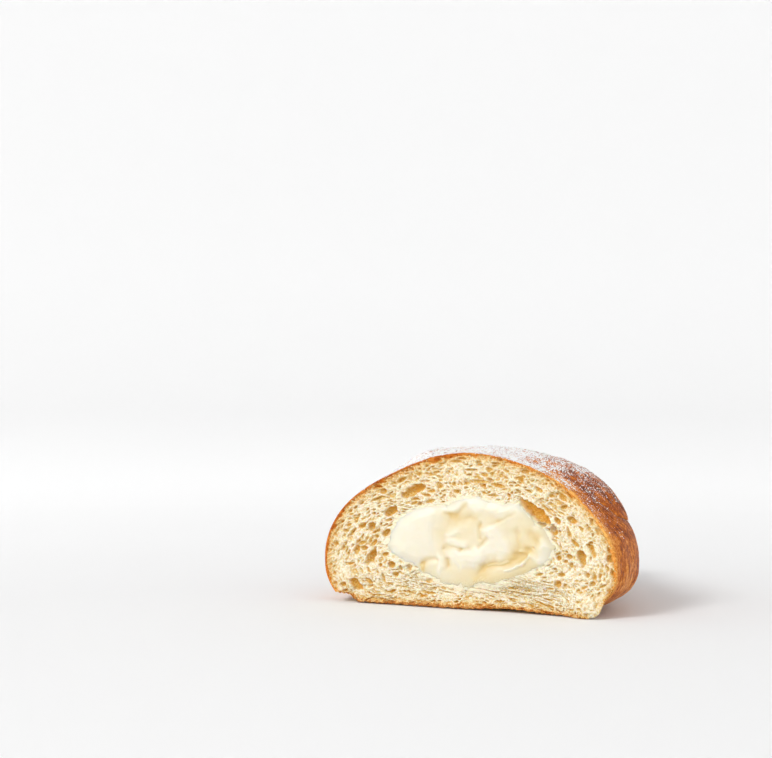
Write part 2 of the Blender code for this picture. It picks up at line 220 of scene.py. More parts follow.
def rolled_skin(name, points, marks):
    """A piece from rows and columns of points, rolled round and closed, with named numbers on them."""
    rows, columns = points.shape[:2]
    skin = bmesh.new()
    bmesh.ops.create_grid(skin, x_segments=columns, y_segments=rows - 1, size=0.5)
    mesh = bpy.data.meshes.new(name)
    skin.to_mesh(mesh)
    flat = np.empty(len(mesh.vertices) * 3)
    mesh.vertices.foreach_get("co", flat)
    spot = np.rint((flat.reshape(-1, 3)[:, :2] + 0.5) * (columns, rows - 1)).astype(int)
    row, column = spot[:, 1], spot[:, 0] % columns
    mesh.vertices.foreach_set("co", points[row, column].ravel())
    for mark, values in marks.items():
        layer = mesh.attributes.new(mark, "FLOAT", "POINT")
        layer.data.foreach_set("value", np.broadcast_to(values, points.shape[:2])[row, column])
    skin.clear()
    skin.from_mesh(mesh)
    bmesh.ops.remove_doubles(skin, verts=skin.verts, dist=0.001 * MM)
    bmesh.ops.recalc_face_normals(skin, faces=skin.faces)
    skin.to_mesh(mesh)
    skin.free()
    mesh.polygons.foreach_set("use_smooth", [True] * len(mesh.polygons))
    piece = bpy.data.objects.new(name, mesh)
    bpy.context.scene.collection.objects.link(piece)
    return piece


class Wire:
    """A shader socket that takes Python's operators, each of which adds the node that it stands for."""

    def __init__(self, socket):
        self.socket = socket

    def node(self, kind, inputs=(), output=0, stops=(), **settings):
        """A new node: its settings, the stops of a ramp, its sockets by name or number, and one output."""
        tree = self.socket.id_data
        made = tree.nodes.new(kind)
        for name, setting in settings.items():
            setattr(made, name, setting)
        for place, (position, colour) in enumerate(stops):
            ramp = made.color_ramp.elements
            stop = ramp[place] if place < 2 else ramp.new(position)
            stop.position, stop.color = position, (*colour, 1)
        for name, value in dict(inputs).items():
            if isinstance(value, Wire):
                tree.links.new(value.socket, made.inputs[name])
            else:
                made.inputs[name].default_value = value
        return Wire(made.outputs[output])

    def math(self, operation, first, second=0.0):
        return self.node("ShaderNodeMath", {0: first, 1: second}, operation=operation)

    def __add__(self, other):
        return self.math("ADD", self, other)

    def __radd__(self, other):
        return self.math("ADD", other, self)

    def __sub__(self, other):
        return self.math("SUBTRACT", self, other)

    def __rsub__(self, other):
        return self.math("SUBTRACT", other, self)

    def __mul__(self, other):
        return self.math("MULTIPLY", self, other)

    def __rmul__(self, other):
        return self.math("MULTIPLY", other, self)

    def __truediv__(self, other):
        return self.math("DIVIDE", self, other)

    def rise(self, low, high):
        """0 below one value, 1 above another, smooth between them."""
        inputs = {"Value": self, "From Min": low, "From Max": high}
        return self.node("ShaderNodeMapRange", inputs, interpolation_type="SMOOTHSTEP")

    def mix(self, first, second):
        """The first colour where this is 0, and the second where it is 1."""
        first, second = (c if isinstance(c, Wire) else (*c, 1) for c in (first, second))
        inputs = {0: self, 6: first, 7: second}
        return self.node("ShaderNodeMix", inputs, output=2, data_type="RGBA")

    def ramp(self, *stops):
        return self.node("ShaderNodeValToRGB", {"Fac": self}, stops=stops)

    def mark(self, name):
        return self.node("ShaderNodeAttribute", output="Fac", attribute_name=name)

    def stretched(self, scale):
        """Places for a drawn-out pattern, turned so that its grid doesn't show across the grain."""
        inputs = {"Vector": self, "Scale": scale, "Rotation": (0, 0, GRAIN_TURN)}
        return self.node("ShaderNodeMapping", inputs)

    def noise(self, size, detail=2.0, roughness=0.5):
        inputs = {"Vector": self, "Scale": 1 / size, "Detail": detail, "Roughness": roughness}
        return self.node("ShaderNodeTexNoise", inputs, output="Fac")

    def cells(self, size, feature="F1"):
        inputs = {"Vector": self, "Scale": 1 / size}
        return self.node("ShaderNodeTexVoronoi", inputs, output="Distance", feature=feature)

    def bump(self, distance, strength=1.0, over=None):
        inputs = {"Height": self, "Distance": distance, "Strength": strength}
        if over:
            inputs["Normal"] = over
        return self.node("ShaderNodeBump", inputs)


def new_finish(name, **sockets):
    """A material, its shader with steady values on its sockets, and its object coordinates."""
    material = bpy.data.materials.new(name)
    material.use_nodes = True
    shader = material.node_tree.nodes["Principled BSDF"]
    for socket, value in sockets.items():
        shader.inputs[socket.replace("_", " ")].default_value = value
    return material, shader, Wire(material.node_tree.nodes.new("ShaderNodeTexCoord").outputs["Object"])


def feed(shader, **wires):
    """Links wires to the shader's sockets of the same names."""
    for socket, wire in wires.items():
        shader.id_data.links.new(wire.socket, shader.inputs[socket.replace("_", " ")])


# From the palest crust to the darkest; a ramp's first two stops are its ends
CRUST_SHADES = (
    (0.0, (0.90, 0.48, 0.125)),
    (1.0, (0.11, 0.020, 0.003)),
    (0.2, (0.77, 0.30, 0.050)),
    (0.45, (0.59, 0.156, 0.009)),
    (0.7, (0.34, 0.068, 0.004)),
)
# Painted shade for the grooves, a thin dust of sugar, and the white of sugar
CREASE_SHADE_COLOUR, SUGAR_DUST, SUGAR_WHITE = (0.15, 0.04, 0.01), (0.83, 0.77, 0.72), (0.94, 0.935, 0.93)


def crust_finish():
    """Browned dough under icing sugar: paler at the cut and in the stretched zones, darkest on the nub."""
    material, shader, place = new_finish("baked_crust", Specular_IOR_Level=0.18)
    bake, sugar, crease_shade = place.mark("bake"), place.mark("sugar"), place.mark("crease_shade")
    flow = place.node("ShaderNodeCombineXYZ", {0: place.mark("along"), 1: place.mark("back")})
    patches = place.noise(9 * MM, 3)
    mottle = place.noise(1.3 * MM, 3, 0.65)
    specks = place.noise(0.42 * MM, 2, 0.6)
    lines = flow.stretched((0.1, 1.0, 1.0)).noise(0.95 * MM, 2, 0.6)
    shade = bake + (patches - 0.5) * 0.55 + (mottle - 0.5)
    shade = shade + (specks - 0.5) * 0.8 + (lines - 0.5) * 1.5
    # Painted shade: the crust turns dark in the grooves, where shade falls between the wraps
    crust = crease_shade.mix(shade.ramp(*CRUST_SHADES), CREASE_SHADE_COLOUR)
    drift = (place.noise(2.6 * MM, 2) - 0.5) * 0.55 + (place.noise(0.8 * MM, 2, 0.6) - 0.5) * 0.6
    local = sugar + drift * sugar.rise(0.0, 0.25) + (lines - 0.5) * 0.35 * sugar.rise(0.0, 0.3)
    fine, coarse = place.cells(0.42 * MM), place.cells(1.0 * MM)
    grains = (local * 0.7 - fine - 0.01).rise(-0.03, 0.05)
    clumps = (local * 0.44 - coarse + 0.02).rise(-0.03, 0.04)
    cover = grains.math("MAXIMUM", grains, clumps)
    dusted = (local.rise(0.1, 1.0) * 0.14).mix(crust, SUGAR_DUST)
    blisters = place.cells(0.62 * MM, "SMOOTH_F1")
    wrinkles = place.noise(0.42 * MM, 3, 0.6)
    skin = (1 - blisters) * 0.5 + wrinkles * 0.5 + lines * 0.8
    relief = skin.bump(0.28 * MM, 0.6)
    relief = (cover * (1.3 - fine)).bump(0.2 * MM, 0.6, over=relief)
    feed(
        shader,
        Base_Color=cover.mix(dusted, SUGAR_WHITE),
        Roughness=cover * 0.5 + 0.40 + (mottle - 0.5) * 0.25,
        Normal=relief,
    )
    return material


NUB_BROWNED, NUB_COARSE = (56 * MM, 66 * MM), (57 * MM, 64 * MM)
SUGAR_THINS, SUGAR_SIDES, SUGAR_MIDDLE = (22 * MM, 60 * MM), (44 * MM, 8 * MM), -8 * MM
SUGAR_LOWEST = (2 * MM, 9 * MM)


def crust_marks(points, profile, stretch, behind, around, index):
    """How baked and sugared the crust is at each point, and how much shade is painted into its grooves."""
    normal = normals_of(points)
    right_side = bell(around, 0, 55)
    near_cut = np.exp(-behind / ((0.8 + 0.8 * right_side) * MM)) * (0.15 + 0.3 * right_side)
    nub = smoothstep(*NUB_BROWNED, behind)
    low_side = smoothstep(0.35, -0.4, normal[..., 2])
    bake = 0.5 + 0.16 * (profile - 0.7) - near_cut - 0.05 * stretch + 0.2 * nub - 0.14 * low_side
    bake = bake + 0.25 * noise_of(points, 11 * MM, 3.0) + 0.05 * smoothstep(0.1, 0.7, normal[..., 2])
    front, back = groove_line(index, around), groove_line(index + 1, around)
    # Painted shade down in each groove, and on the back of a wrap just before the lip of the next one
    crease_shade = smoothstep(0.30, 0.0, profile) * (index > 0) * smoothstep(3 * MM, 12 * MM, front)
    crease_shade = crease_shade * smoothstep(*NARROW_CREASE, back - front)
    to_groove = back - behind
    painted_shade_behind = 0.5 * smoothstep(1.2 * MM, 0.1 * MM, to_groove) * smoothstep(3 * MM, 9 * MM, back)
    if index == 0:
        painted_shade_behind = painted_shade_behind * smoothstep(*NARROW_CREASE, groove_line(2, around) - back)
    crease_shade = np.maximum(crease_shade * 0.8, painted_shade_behind)
    if index == 0:
        bake = bake + 0.1 * smoothstep(10 * MM, 1 * MM, to_groove) * smoothstep(4 * MM, 12 * MM, back)
    if index == 1:
        bake = bake + 0.06 * bell(around, 46, 26)
    fall = smoothstep(0.36, 0.93, normal[..., 2] + 0.25 * noise_of(points, 7 * MM, 11.0))
    reach = between(1.0, 0.15, smoothstep(*SUGAR_THINS, behind))
    middle = between(0.55, 1.1, smoothstep(*SUGAR_SIDES, np.abs(points[..., 0] - SUGAR_MIDDLE)))
    facing_up = smoothstep(0.1, 0.5, normal[..., 2])
    ledge = 0.45 * smoothstep(0.75, 0.3, profile) * smoothstep(0.0, 0.25, profile) * facing_up
    shoulder = 0.3 * bell(around, 115, 22) * smoothstep(0.5 * MM, 5 * MM, behind)
    sugar = (fall + shoulder + ledge * (index > 0)) * reach * middle * (1 - 0.8 * crease_shade)
    sugar = sugar * (1 + 0.5 * noise_of(points, 4.5 * MM, 23.0)) * smoothstep(*SUGAR_LOWEST, points[..., 2])
    return {"bake": bake, "crease_shade": crease_shade, "sugar": np.clip(sugar, 0, 0.95)}


def crust_relief(points, stretch, behind, around, index):
    """Steam blisters all over, coarse ones on the nub, and fine lines along the stretched zones."""
    nub = smoothstep(*NUB_COARSE, behind)
    swell = 0.30 * MM * noise_of(points, 5 * MM, 1.0)
    blister = 0.13 * MM * np.maximum(noise_of(points, 1.3 * MM, 7.0), -0.1)
    coarse = 0.75 * MM * np.abs(noise_of(points, 3.2 * MM, 2.0))
    coarse = coarse + 0.4 * MM * noise_of(points, 1.4 * MM, 5.0)
    to_groove = groove_line(index + 1, around) - behind
    run, across = around * 4, to_groove / (0.9 * MM)
    cosine, sine = math.cos(GRAIN_TURN), math.sin(GRAIN_TURN)
    turned, turned_across = cosine * run - sine * across, sine * run + cosine * across
    line_places = np.stack([turned, turned_across, index + 0 * across], -1)
    lines = 0.30 * MM * noise_of(line_places, 1, 9.0) * (0.25 + 0.75 * stretch)
    base = smoothstep(0.2 * MM, 3 * MM, points[..., 2])
    return (swell + blister + coarse * nub * 0.8 + lines) * (0.15 + 0.85 * base)


def make_crust(name, wraps, columns):
    """One closed skin over neighbouring wraps, from the groove or cut in front to the groove behind."""
    turn = np.linspace(0, math.tau, columns, endpoint=False)
    around = (turn + 0.3 * np.cos(turn))[None, :]
    sheets, marks = [], []
    for index in wraps:
        rows = WRAP_ROWS[index]
        share = np.linspace(0, 1, rows, endpoint=index == wraps[-1])[:, None]
        if index > 1:
            share = between(share, share**1.6, 0.5)
        if index == LAST_WRAP:
            share = np.sin(share * math.pi / 2)
        points, profile, stretch, behind = wrap_sheet(index, share, around)
        relief = crust_relief(points, stretch, behind, around, index)
        rim_calm = between(0.35, 1, smoothstep(0, 3 * MM, behind))
        points = points + normals_of(points) * (relief * rim_calm)[..., None]
        points[..., 1] += cut_wave(points, 0.2) * smoothstep(4 * MM, 0, behind)
        points[..., 2] = np.maximum(points[..., 2], base_height(points[..., 0], points[..., 1]))
        found = crust_marks(points, profile, stretch, behind, around, index)
        sugared.append((points, normals_of(points), found["sugar"]))
        found["along"] = 34 * MM * (around + 0.25 * np.sin(around)) + 0 * behind
        found["back"] = between(behind, (share + index) * 17 * MM + 0 * behind, 0.6)
        marks.append(found)
        sheets.append(points)
    inner_shares = np.array([0.9 if wraps[-1] == LAST_WRAP else 1.0, 0.5, 0.0])[:, None]
    inner = [wrap_sheet(index, inner_shares, around, SHELL_DEPTH)[0] for index in reversed(wraps)]
    for inside in inner:
        inside[..., 2] += SHELL_LIFT
        if wraps[0] == 0:
            near_cut = np.clip(1 - (inside[..., 1] - CUT_Y) / SHELL_RUN, 0, 1)
            inside[..., 1] += SHELL_DEPTH * near_cut
    if wraps[-1] == LAST_WRAP:
        inner.insert(0, np.broadcast_to(inner[0][0].mean(axis=0), (1, columns, 3)))
    if wraps[0] == 0:
        rim = wrap_sheet(0, np.zeros((1, 1)), around, rim_thickness(around))[0]
        rim[..., 1] += cut_wave(rim, 0.2)
        inner.append(rim)
    inner.append(sheets[0][:1])
    sheet = np.concatenate(sheets + inner)
    hidden = np.zeros((len(sheet) - sum(map(len, sheets)), columns))
    spread = {}
    for mark in marks[0]:
        spread[mark] = np.concatenate([part[mark] + 0 * hidden[:1] for part in marks] + [hidden])
    spread["bake"][-2:] = marks[0]["bake"][:1]
    piece = rolled_skin(name, sheet, spread)
    piece.data.materials.append(baked_crust)
    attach(piece, "root")
    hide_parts("bread")


baked_crust = crust_finish()
sugared = []
make_crust("crust_front", (0, 1), CRUST_COLUMNS)
make_crust("crust_second_wrap", (2,), CRUST_COLUMNS)
make_crust("crust_third_wrap", (3,), CRUST_COLUMNS)
make_crust("crust_nub", (LAST_WRAP,), NUB_COLUMNS)

# ---------------------------------------- icing sugar
# Clumps of icing sugar, sifted over the top once the croissant had cooled. The finest dust is in the
# crust's finish, and these are the grains that stand up from it.
SUGAR_CLUMPS, SUGAR_SEED = 8600, 12
CLUMP_RADII = (0.05 * MM, 0.2 * MM)
GRAIN_WHITES = ((0.90, 0.895, 0.89), (0.96, 0.958, 0.955))


def local_area(points):
    """Area of the sheet round each of its points."""
    return np.linalg.norm(np.cross(np.gradient(points, axis=0), np.gradient(points, axis=1)), axis=-1)


def make_sugar():
    """Small uneven grains, thrown mostly where the sugar lies thickest."""
    rng = np.random.default_rng(SUGAR_SEED)
    places = np.concatenate([points.reshape(-1, 3) for points, _, _ in sugared])
    normals = np.concatenate([normals.reshape(-1, 3) for _, normals, _ in sugared])
    chance = np.concatenate([(sugar * local_area(points)).ravel() for points, _, sugar in sugared])
    chance = chance * np.clip(0.6 + 1.3 * noise_of(places, 1.6 * MM, 31.0), 0.05, 2)
    picked = rng.choice(len(places), SUGAR_CLUMPS, p=chance / chance.sum())
    small, large = CLUMP_RADII
    radius = small + (large - small) * rng.random((SUGAR_CLUMPS, 1)) ** 3
    centre = places[picked] + normals[picked] * radius * 0.45
    centre = centre + rng.normal(0, 0.08 * MM, (SUGAR_CLUMPS, 3))
    ball = bmesh.new()
    bmesh.ops.create_icosphere(ball, subdivisions=1, radius=1)
    grain = bpy.data.meshes.new("sugar_grain")
    ball.to_mesh(grain)
    for _ in range(SUGAR_CLUMPS - 1):
        ball.from_mesh(grain)
    mesh = bpy.data.meshes.new("icing_sugar")
    ball.to_mesh(mesh)
    ball.free()
    unit = np.array([vert.co for vert in grain.vertices])
    uneven = rng.uniform(0.6, 1.25, (SUGAR_CLUMPS, len(unit), 1))
    spots = centre[:, None] + unit * radius[:, None] * uneven
    mesh.vertices.foreach_set("co", spots.ravel())
    mesh.polygons.foreach_set("use_smooth", [True] * len(mesh.polygons))
    piece = bpy.data.objects.new("icing_sugar", mesh)
    bpy.context.scene.collection.objects.link(piece)
    material, shader, place = new_finish(
        "icing_sugar", Subsurface_Weight=0.3, Subsurface_Scale=0.0004, Specular_IOR_Level=0.3
    )
    speck = place.noise(0.1 * MM, 2)
    feed(
        shader,
        Base_Color=speck.mix(*GRAIN_WHITES),
        Roughness=speck * 0.2 + 0.7,
        Normal=speck.bump(0.03 * MM, 0.5),
    )
    mesh.materials.append(material)
    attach(piece, "root")
    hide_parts("bread")


make_sugar()

# ---------------------------------------- open crumb
# The cut face of the bread: pale yellow crumb full of bubbles, layered along the crust and squeezed flat
# under the cream, torn rather than cut in places. Its inner edge turns back into the hollow.
MOUTH_CENTRE = np.array([1.7 * MM, CUT_Y, 19.7 * MM])
# Edge of the cream at the cut: across, and up from the base, in mm
CREAM_EDGE = (
    (26.2, 18.2), (24.8, 20.5), (23.6, 22.9), (21.3, 23.9), (18.9, 26.4),
    (15.5, 29.6), (11.8, 29.1), (7.4, 29.8), (1.6, 30.8), (-2.8, 29.8),
    (-5.7, 28.1), (-10.2, 27.8), (-14.7, 26.6), (-19.2, 24.3), (-21.6, 20.6),
    (-22.8, 16.4), (-21.6, 14.5), (-18.8, 13.1), (-14.8, 11.6), (-10.6, 9.4),
    (-4.4, 7.2), (4.6, 7.0), (11.8, 8.7), (16.1, 10.0), (20.3, 11.8),
    (24.0, 14.1),
)
CREAM_OVERLAP = 1.8 * MM
HOLLOW_DEPTH, HOLLOW_START = 16 * MM, 1.6 * MM
FLAP_DROP = 2.6 * MM
CRUMB_COLUMNS, FACE_ROWS = 960, 84
CRUMB_WALL_SHARES = (1.0, 0.9, 0.7, 0.5, 0.34, 0.22, 0.13, 0.07, 0.03)
CRUMB_BACK_ROWS = ((0.6 * MM, 1.5 * MM), (1.2 * MM, 5 * MM), (4 * MM, 9 * MM))
# Bubbles large enough to tell apart: across, up from the base, length and thickness in mm, tilt in degrees
LARGE_BUBBLES = (
    (-2.3, 40.3, 4.1, 1.0, 2), (-6.7, 39.5, 2.1, 0.7, 6), (-9.5, 38.6, 1.5, 0.5, 11),
    (-8.3, 37.1, 2.7, 0.8, 9), (-18.8, 34.7, 3.4, 1.4, 25), (-11.7, 34.6, 3.4, 0.8, 6),
    (-9.2, 35.5, 1.3, 0.4, 6), (-15.2, 31.8, 8.4, 2.7, 25), (-24.4, 31.4, 2.1, 1.6, 20),
    (-9.8, 31.9, 2.9, 1.1, 11), (-2.3, 32.1, 2.1, 1.3, 2), (-6.7, 30.3, 1.3, 0.5, 16),
    (-14.8, 28.5, 2.5, 1.0, 20), (-10.2, 29.2, 3.8, 1.1, 16), (2.8, 31.3, 1.4, 1.1, 2),
    (4.5, 30.6, 2.0, 1.1, -3), (8.5, 31.4, 3.6, 0.8, -1), (7.5, 30.3, 1.6, 0.6, 2),
    (4.0, 35.0, 6.5, 1.1, 0), (9.7, 34.1, 4.8, 1.2, -9), (12.9, 31.6, 1.5, 0.8, -52),
    (10.7, 36.8, 1.6, 1.2, -17), (11.9, 36.4, 1.9, 0.8, -32), (5.9, 36.9, 2.6, 1.1, -3),
    (1.3, 36.7, 1.8, 0.6, 2), (2.0, 38.1, 4.1, 0.8, 2), (4.4, 39.6, 2.0, 0.8, -3),
    (9.1, 40.0, 2.8, 0.8, -1), (0.6, 39.5, 1.6, 0.5, 2), (17.3, 38.1, 2.8, 1.2, -3),
    (18.5, 32.9, 2.7, 0.8, -22), (21.3, 33.4, 2.7, 1.2, -32), (25.5, 32.2, 2.3, 1.4, -37),
    (21.9, 30.2, 2.3, 1.0, -27), (15.6, 32.8, 1.9, 0.8, -37), (14.5, 35.0, 1.6, 0.6, -27),
    (-22.2, 25.9, 4.6, 2.5, 31), (-27.7, 21.5, 2.6, 2.0, 48), (-23.2, 19.9, 3.1, 2.0, 21),
    (-24.9, 22.4, 1.1, 0.7, 44), (-22.5, 23.5, 2.5, 0.9, 11), (-32.4, 15.0, 3.2, 1.7, 74),
    (-30.1, 15.4, 2.3, 1.5, 3), (-30.8, 16.8, 2.9, 1.3, 21), (-28.0, 13.1, 5.7, 2.4, 53),
    (-23.5, 14.0, 2.6, 1.3, 16), (-21.8, 15.2, 2.1, 1.3, -57), (-22.9, 16.4, 1.7, 0.9, 30),
    (-21.8, 11.2, 2.4, 1.9, 3), (-25.2, 10.9, 1.3, 1.1, 79), (-26.3, 18.8, 1.7, 1.3, 3),
    (-34.1, 18.1, 1.4, 1.1, 39), (-35.7, 20.0, 1.7, 1.2, 3), (-35.9, 16.3, 1.6, 0.8, 58),
    (-34.6, 10.8, 3.2, 0.9, 12), (-32.8, 5.2, 4.6, 2.8, -35), (-36.7, 4.9, 2.3, 1.6, 3),
    (-28.6, 6.3, 2.9, 1.4, -35), (-20.5, 8.5, 2.0, 1.5, 3), (-16.3, 10.9, 1.8, 1.5, -90),
    (-19.0, 10.4, 1.5, 1.1, -57), (-24.2, 7.4, 3.1, 1.0, -73), (-32.7, 26.6, 1.7, 0.7, 38),
    (-25.4, 27.3, 1.1, 0.6, 29), (-29.1, 26.2, 1.4, 0.7, 39), (-34.8, 21.6, 2.0, 1.0, 29),
    (-31.7, 24.5, 1.7, 0.8, 34), (-21.9, 31.1, 1.7, 0.6, 29), (-27.1, 17.0, 3.0, 1.3, 44),
    (-30.8, 27.9, 1.7, 0.8, 34), (22.1, 24.9, 4.6, 2.7, -35), (25.7, 22.7, 3.5, 2.0, -69),
    (26.6, 25.3, 2.6, 1.5, -47), (23.6, 28.3, 5.5, 0.9, -42), (30.6, 25.7, 2.9, 1.8, -17),
    (30.0, 21.9, 4.2, 1.1, -74), (31.6, 19.6, 3.5, 1.2, -42), (33.5, 15.7, 4.7, 2.2, -71),
    (25.8, 18.1, 1.4, 1.4, -90), (27.1, 15.4, 1.6, 1.5, 3), (30.1, 16.0, 1.7, 1.4, 3),
    (29.0, 14.6, 1.5, 1.2, 3), (41.2, 15.9, 2.3, 2.0, -90), (36.5, 22.0, 1.2, 0.7, -90),
    (36.0, 19.9, 1.5, 0.9, 3), (35.2, 11.3, 1.6, 1.5, -90), (38.6, 11.3, 1.9, 1.0, -90),
    (39.5, 8.7, 2.2, 0.9, 27), (36.7, 9.2, 1.7, 1.4, 3), (34.6, 8.1, 2.2, 0.8, 27),
    (32.9, 7.2, 1.5, 1.2, 31), (27.0, 8.5, 2.3, 1.7, 3), (28.9, 8.2, 1.4, 1.2, -90),
    (21.6, 10.8, 2.8, 0.9, 12), (24.6, 7.1, 2.5, 0.7, 3), (27.9, 11.0, 2.2, 1.2, 3),
    (30.6, 13.7, 1.9, 1.2, -90), (28.4, 29.0, 2.5, 1.4, 16), (25.1, 31.9, 1.8, 1.2, 2),
    (26.4, 32.4, 1.0, 0.9, 2), (33.6, 6.8, 1.5, 0.7, 3), (33.1, 4.3, 2.2, 0.7, 3),
    (31.1, 2.1, 2.0, 0.7, 4), (33.4, 2.5, 1.5, 0.7, 4), (25.9, 12.5, 1.3, 0.7, 3),
    (23.4, 5.4, 2.5, 0.5, 3), (26.7, 6.6, 1.7, 0.5, -6), (35.5, 23.6, 1.2, 1.2, 2),
    (20.3, 27.4, 11.4, 3.3, -37), (-10.2, 7.4, 2.8, 1.4, 9), (-6.0, 5.6, 2.0, 0.9, -12),
)


def cream_edge(around):
    """The edge of the cream in the plane of the cut, at angles round the middle of the hollow."""
    spots = np.array(CREAM_EDGE) * MM - MOUTH_CENTRE[[0, 2]]
    angles, reaches = np.arctan2(spots[:, 1], spots[:, 0]), np.hypot(spots[:, 0], spots[:, 1])
    order = np.argsort(angles)
    angles, reaches = angles[order], reaches[order]
    angles = np.concatenate([angles - math.tau, angles, angles + math.tau])
    reach = np.interp(np.remainder(around, math.tau), angles, np.tile(reaches, 3))
    return np.stack([reach * np.cos(around), 0 * reach, reach * np.sin(around)], -1)


def mouth_points(around):
    """The rim of the hollow, just inside the edge of the cream that smears over it."""
    radial = cream_edge(around)
    return MOUTH_CENTRE + radial * (1 - CREAM_OVERLAP / np.linalg.norm(radial, axis=-1, keepdims=True))


def body_angle(around):
    """The angle round the body's section that lies beyond each angle round the middle of the hollow."""
    fine = np.linspace(0, math.tau, 2001)[:-1]
    rim = body_points(fine, 0 * fine, 0.0) - MOUTH_CENTRE
    seen = np.unwrap(np.arctan2(rim[:, 2], rim[:, 0]))
    seen = np.concatenate([seen - math.tau, seen, seen + math.tau])
    fine = np.concatenate([fine - math.tau, fine, fine + math.tau])
    return np.interp(around, seen, fine)


def even_angles(columns):
    """Angles round the hollow at equal lengths along the middle of the cut face, and those lengths."""
    fine = np.linspace(0, math.tau, 4001)
    ring = between(mouth_points(fine), body_points(body_angle(fine), 0 * fine, 0.0), 0.6)
    lengths = np.linalg.norm(np.diff(ring, axis=0), axis=1)
    travelled = np.concatenate([[0], np.cumsum(lengths)])
    run = np.linspace(0, travelled[-1], columns, endpoint=False)
    return np.interp(run, travelled, fine)[None, :], run[None, :]


# Length and thickness of the packed bubbles between them, and 1 for the third axis, largest first
BUBBLE_SIZES = ((3.0 * MM, 1.8 * MM, 1), (1.5 * MM, 1.0 * MM, 1), (0.85 * MM, 0.65 * MM, 1))
SQUEEZED_BELOW, SQUEEZED_WITHIN = (9.5 * MM, 3.5 * MM), (39 * MM, 26 * MM)


def bubble_layer(places, size, layer):
    """Packed bubbles: each place's distance from the wall of its bubble, and a random number a bubble."""
    scaled = np.reshape(places / np.array(size), (-1, 3)) + (0, 0, layer * 3.7)
    found = [noise.voronoi(place) for place in scaled.tolist()]
    wall = np.array([gaps[1] - gaps[0] for gaps, _ in found])
    centres = np.array([tuple(points[0]) for _, points in found])
    draw = np.modf(np.abs(np.sin(centres @ (12.99, 78.23, 37.72)) * 43758.5))[0]
    shape = np.shape(places)[:-1]
    return wall.reshape(shape), draw.reshape(shape)


def crumb_hollows(points, run, from_crust, from_mouth):
    """Each point's depth in a bubble, with painted shade in the bubble and painted highlight at its rim."""
    x, z = points[..., 0], points[..., 2]
    squeezed = smoothstep(*SQUEEZED_BELOW, z) * smoothstep(*SQUEEZED_WITHIN, np.abs(x))
    flat = 1 + 0.35 * squeezed
    warp = 1.1 * MM * noise_of(points, 5 * MM, 4.0) + 0.4 * MM * noise_of(points, 1.5 * MM, 6.0)
    run = run + 1.2 * MM * noise_of(points, 4 * MM, 14.0)
    places = np.stack([run / flat, (from_crust + warp) * flat, 0 * run], -1)
    layers = [bubble_layer(places, size, layer) for layer, size in enumerate(BUBBLE_SIZES, 1)]
    (medium_wall, medium_draw), (small_wall, small_draw), (fine_wall, fine_draw) = layers
    loose = noise_of(points, 6 * MM, 21.0) - 0.3 * smoothstep(26 * MM, 34 * MM, x)
    loose = loose + 0.1 * smoothstep(-20 * MM, -28 * MM, x)
    grain = 0.28 * noise_of(points, 0.6 * MM, 33.0)
    medium_open = smoothstep(0.0, 0.1, medium_draw - 0.62 + 0.5 * loose)
    small_open = smoothstep(0.0, 0.1, small_draw - 0.3 + 0.4 * loose)
    medium = 1.3 * smoothstep(0.02, 0.7, medium_wall) * medium_open
    small = 0.85 * smoothstep(0.02, 0.65, small_wall) * small_open
    fine = 0.3 * smoothstep(0.0, 0.5, fine_wall) * (fine_draw > 0.25)
    depth = np.maximum(np.maximum(medium, small * (1 + 0.3 * squeezed)), fine) + 0.25 * fine + grain
    depth = depth * smoothstep(0.9 * MM, CREAM_OVERLAP + 0.3 * MM, from_mouth)
    # Painted highlight on the thin walls between the open bubbles
    edge = smoothstep(0.25, 0.03, np.where(medium > 0.02, medium_wall, small_wall)) * 0.55
    ragged = 0.35 * noise_of(points, 1.6 * MM, 8.0) + 0.2 * noise_of(points, 0.8 * MM, 18.0)
    hole_shade_cap = 1 + 0 * x
    for across_at, up_at, length, thick, tilt in LARGE_BUBBLES:
        turn = math.radians(tilt)
        right, up = x - across_at * MM, z - up_at * MM
        along = (right * math.cos(turn) + up * math.sin(turn)) / (length / 2 * MM)
        across = (up * math.cos(turn) - right * math.sin(turn)) / (thick / 2 * MM)
        out = np.hypot(along, across) * (1 + ragged * min(max(thick / 2, 0.45), 1))
        hole = min(max(thick * 0.9, 1.0), 2.2) * np.clip(1 - out**2, 0, 1) ** 0.5
        # Painted shade in the large bubbles thinner than 3 mm, darker towards their upper right
        if thick < 3:
            shaded = 0.66 + 0.34 * smoothstep(-0.3, 0.45, (right + up) / (length * MM))
            hole_shade_cap = np.where(out < 1, shaded, hole_shade_cap)
        depth = np.where(out < 1, np.maximum(hole + 0.35 * fine + grain, depth * 0.35), depth)
        # Painted highlight round the rim of each large bubble
        edge = np.maximum(edge * (out > 1), smoothstep(0.3, 0.0, np.abs(out - 1.08)) * 0.6)
    hollow = np.minimum(np.maximum(depth / 1.5, 0) ** 0.85, hole_shade_cap)
    return hollow, depth * MM * between(0.88, 0.62, squeezed), edge


# Painted shade: from the lit walls of the bubbles to the shaded depth of their hollows
CRUMB_PAINTED_SHADES = (
    (0.0, (0.88, 0.83, 0.68)),
    (1.0, (0.64, 0.30, 0.032)),
    (0.2, (0.79, 0.675, 0.43)),
    (0.45, (0.73, 0.52, 0.215)),
    (0.72, (0.70, 0.43, 0.10)),
)
# What browning multiplies the crumb's colour by, from none to the most
TOAST_TINTS = (
    (0.0, (1.0, 1.0, 1.0)),
    (1.0, (0.52, 0.20, 0.04)),
    (0.3, (0.93, 0.84, 0.68)),
    (0.65, (0.90, 0.56, 0.20)),
)
# Painted highlight on the bubbles' rims, and cream smeared over the crumb
RIM_HIGHLIGHT_CREAM, SMEAR_CREAM = (0.93, 0.88, 0.74), (0.88, 0.80, 0.59)


